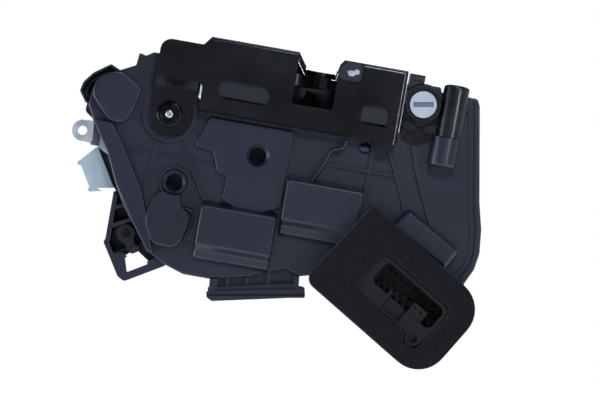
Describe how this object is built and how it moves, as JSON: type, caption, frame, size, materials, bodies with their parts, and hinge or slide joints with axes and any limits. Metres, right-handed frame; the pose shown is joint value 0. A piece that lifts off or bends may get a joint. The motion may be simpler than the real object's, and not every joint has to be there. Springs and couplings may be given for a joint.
{
  "type": "car door lock",
  "caption": "Side door lock of a car: steel plate with a striker mouth and claw, plastic actuator housing with two motors, levers and a foam sealed connector.",
  "frame": {"origin": "midway between the two threaded fixing holes, on the outer face of the steel face plate", "axes": "+X along the face plate from the claw to the key spindle, +Z out of the face plate, -Y towards the cabin"},
  "size_m": [0.1788, 0.064, 0.1215],
  "materials": {
    "plate_steel": "black semi-gloss electrocoat",
    "housing_plastic": "dark navy glass-filled plastic, satin",
    "case_plastic": "black moulded plastic",
    "claw_steel": "bare machined",
    "coat_plastic": "black overmould",
    "pin_steel": "turned",
    "spring_steel": "drawn wire",
    "rubber": "soft black",
    "zinc": "bright zinc plate",
    "pale_plastic": "pale grey-blue moulding",
    "white_plastic": "white moulding",
    "foam": "fine cell foam",
    "motor_steel": "drawn can",
    "gear_plastic": "natural acetal",
    "contact_brass": "tinned edge",
    "circuit_plastic": "black carrier"
  },
  "bodies": {
    "housing": {"latch_plate": "plate_steel", "tab_rivet": "pin_steel", "thread_bushes": "pin_steel", "claw_pin": "pin_steel", "pawl_pin": "pin_steel", "claw_spring": "spring_steel", "pawl_spring": "spring_steel", "latch_case": "case_plastic", "striker_buffer": "rubber", "back_plate": "plate_steel", "front_cover": "housing_plastic", "rear_housing": "housing_plastic", "housing_screws": "pin_steel", "lock_motor": "motor_steel", "safe_motor": "motor_steel", "lock_wheel_pin": "pin_steel", "safe_wheel_pin": "pin_steel", "locking_lever_pin": "pin_steel", "release_lever_pin": "pin_steel", "spindle_collar": "housing_plastic", "spindle_clip": "housing_plastic", "edge_clip": "housing_plastic", "lock_sleeve": "housing_plastic", "connector_socket": "housing_plastic", "connector_pins": "contact_brass", "foam_gasket": "foam", "circuit_carrier": "circuit_plastic", "microswitches": "case_plastic", "cable_bracket": "housing_plastic", "inside_lever_pin": "pin_steel", "cable_guide": "pale_plastic", "mounting_foot": "housing_plastic"},
    "claw": {"claw": "claw_steel", "claw_coat": "coat_plastic"},
    "pawl": {"pawl": "claw_steel"},
    "release_lever": {"release_lever": "zinc"},
    "inside_lever": {"inside_lever": "case_plastic"},
    "key_spindle": {"key_spindle": "white_plastic", "key_lever": "gear_plastic"},
    "lock_spindle": {"lock_spindle": "case_plastic"},
    "lock_wheel": {"lock_wheel": "gear_plastic"},
    "lock_worm": {"lock_worm": "gear_plastic"},
    "locking_lever": {"locking_lever": "gear_plastic"},
    "safe_wheel": {"safe_wheel": "gear_plastic"},
    "safe_worm": {"safe_worm": "gear_plastic"}
  },
  "joints": [
    {"name": "claw_turn", "type": "hinge", "parent": "housing", "child": "claw", "pos_m": [-0.016, 0.006, -0.0107], "axis": [0, 0, 1], "range_deg": [0, 55]},
    {"name": "pawl_turn", "type": "hinge", "parent": "housing", "child": "pawl", "pos_m": [0.021, -0.009, -0.0107], "axis": [0, 0, 1], "range_deg": [0, 11]},
    {"name": "release_turn", "type": "hinge", "parent": "housing", "child": "release_lever", "pos_m": [-0.066, -0.011, -0.06], "axis": [0, -1, 0], "range_deg": [0, 15]},
    {"name": "inside_turn", "type": "hinge", "parent": "housing", "child": "inside_lever", "pos_m": [-0.0665, -0.0085, -0.0875], "axis": [0, 1, 0], "range_deg": [0, 20]},
    {"name": "key_turn", "type": "hinge", "parent": "housing", "child": "key_spindle", "pos_m": [0.0472, -0.015, -0.0128], "axis": [0, -1, 0], "range_deg": [-35, 35]},
    {"name": "lock_spindle_turn", "type": "hinge", "parent": "housing", "child": "lock_spindle", "pos_m": [0.06, -0.0225, -0.013], "axis": [0, 0, 1], "range_deg": [0, 90]},
    {"name": "lock_wheel_turn", "type": "hinge", "parent": "housing", "child": "lock_wheel", "pos_m": [-0.0492, -0.0116, -0.08635], "axis": [0, -1, 0], "range_deg": [0, 60]},
    {"name": "lock_worm_turn", "type": "hinge", "parent": "housing", "child": "lock_worm", "pos_m": [-0.0492, -0.0116, -0.0779], "axis": [1, 0, 0], "range_deg": [0, 1200]},
    {"name": "locking_lever_turn", "type": "hinge", "parent": "housing", "child": "locking_lever", "pos_m": [-0.05565, -0.007, -0.07518], "axis": [0, -1, 0], "range_deg": [-20, 0]},
    {"name": "safe_wheel_turn", "type": "hinge", "parent": "housing", "child": "safe_wheel", "pos_m": [0.038, -0.0116, -0.05305], "axis": [0, -1, 0], "range_deg": [0, 90]},
    {"name": "safe_worm_turn", "type": "hinge", "parent": "housing", "child": "safe_worm", "pos_m": [0.038, -0.0116, -0.0615], "axis": [1, 0, 0], "range_deg": [-1800, 0]}
  ],
  "couplings": [
    {"joint": "lock_worm_turn", "follows": "lock_wheel_turn", "ratio": 20},
    {"joint": "locking_lever_turn", "follows": "lock_wheel_turn", "ratio": -0.33333},
    {"joint": "safe_worm_turn", "follows": "safe_wheel_turn", "ratio": -20}
  ]
}
